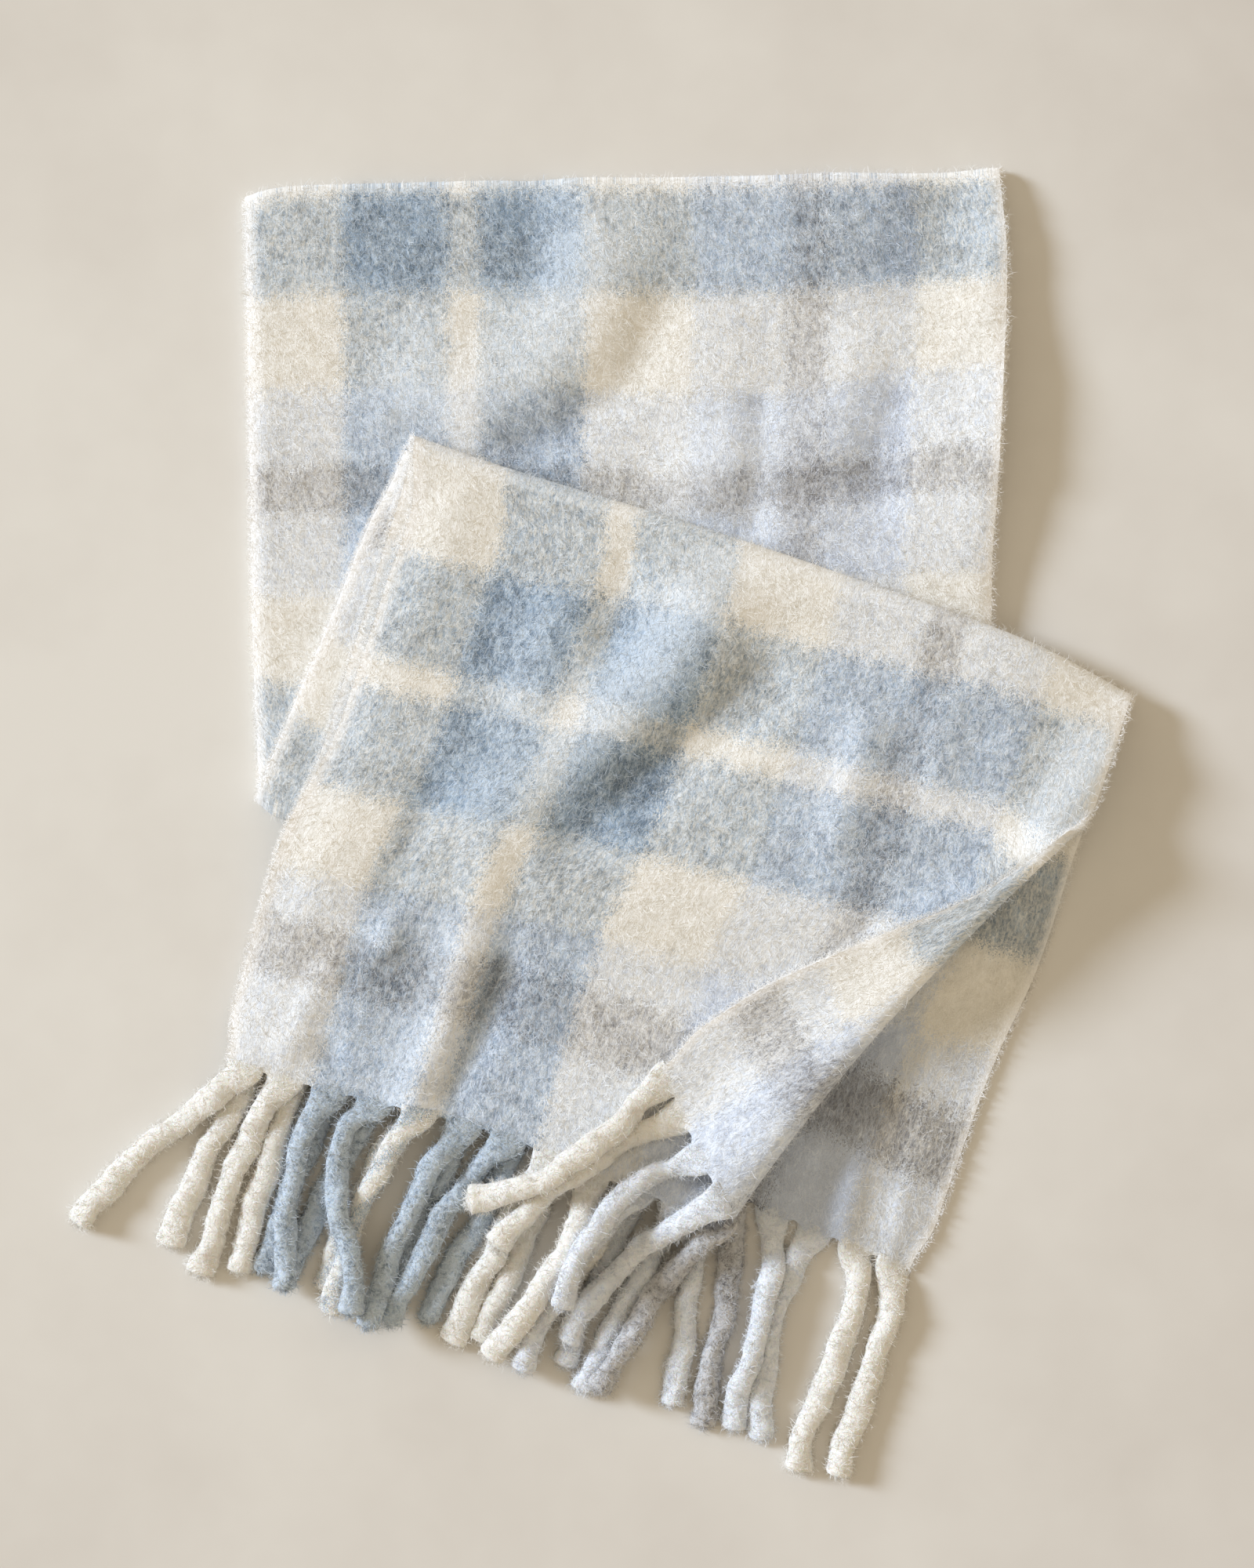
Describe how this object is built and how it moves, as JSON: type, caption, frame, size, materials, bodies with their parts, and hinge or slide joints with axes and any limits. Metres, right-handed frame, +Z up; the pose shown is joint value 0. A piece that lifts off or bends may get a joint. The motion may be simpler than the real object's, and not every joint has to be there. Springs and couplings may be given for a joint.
{
  "type": "folded blanket scarf",
  "caption": "Fringed rectangular blanket scarf, folded in half and then in a Z, lying flat with its fringed ends uppermost and the lower right corner of the upper end turned over.",
  "frame": {"origin": "on the floor, under the middle of the box round the folded scarf", "axes": "+Z up from the floor, +Y from the fringes towards the fold that lies furthest from them, +X to the right"},
  "size_m": [0.629, 0.7845, 0.0455],
  "materials": {
    "brushed_wool": "soft brushed twill, matt, in a pastel check",
    "wool_tassels": "fluffy twisted yarn bundles, matt"
  },
  "bodies": {
    "root": {"back_stretch": "brushed_wool", "middle_stretch": "brushed_wool", "under_end": "brushed_wool", "top_end": "brushed_wool", "under_end_fringe": "wool_tassels", "top_end_fringe": "wool_tassels", "turned_corner_fringe": "wool_tassels"}
  },
  "joints": []
}
